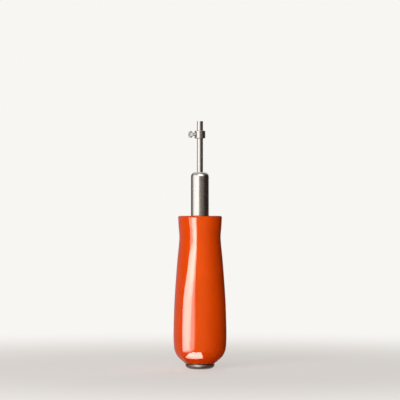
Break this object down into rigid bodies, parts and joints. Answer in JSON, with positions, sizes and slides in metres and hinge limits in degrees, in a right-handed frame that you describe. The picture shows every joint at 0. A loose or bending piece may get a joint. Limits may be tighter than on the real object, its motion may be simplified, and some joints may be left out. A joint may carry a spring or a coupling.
{
  "type": "nail setter",
  "caption": "Spring-loaded nail setter: a sliding guide tube with a nail pocket and a depth stop over a fixed magnetised post, in a plated barrel on a lacquered wooden handle.",
  "frame": {"origin": "centre of the flat in the middle of the butt cap, on which the tool stands", "axes": "+Z along the tool's axis from the butt to the tip, -Y towards the front, from which the collar screw points left and 27 degrees forward"},
  "size_m": [0.032, 0.032, 0.1494],
  "materials": {
    "lacquered_wood": "gloss",
    "nickel_plate": "gloss",
    "turned_steel": "satin",
    "spring_steel": "satin",
    "brass": "satin"
  },
  "bodies": {
    "grip": {"handle": "lacquered_wood", "butt_cap": "nickel_plate", "butt_washer": "spring_steel", "tie_rod": "turned_steel", "barrel": "nickel_plate", "nose_bush": "brass", "post_plug": "turned_steel", "drive_post": "turned_steel", "post_pin": "turned_steel", "lower_spring_washer": "spring_steel", "return_spring": "spring_steel"},
    "spring_seat": {"upper_spring_washer": "spring_steel"},
    "tube": {"guide_tube": "nickel_plate", "retaining_ring": "turned_steel"},
    "collar": {"stop_collar": "nickel_plate"},
    "screw": {"collar_screw": "nickel_plate"}
  },
  "joints": [
    {"name": "tube_slide", "type": "slide", "parent": "grip", "child": "spring_seat", "axis": [0, 0, -1], "range_m": [0, 0.0201], "stiffness_N_per_m": 565, "springref_m": -0.009, "deforming": ["return_spring"]},
    {"name": "tube_spin", "type": "hinge", "parent": "spring_seat", "child": "tube", "pos_m": [0, 0, 0.11], "axis": [0, 0, 1], "continuous": true},
    {"name": "collar_slide", "type": "slide", "parent": "tube", "child": "collar", "axis": [0, 0, 1], "range_m": [0, 0.005]},
    {"name": "screw_turn", "type": "hinge", "parent": "collar", "child": "screw", "pos_m": [-0.00446, -0.00227, 0.1413], "axis": [-0.891, -0.454, 0], "range_deg": [0, 720]}
  ]
}
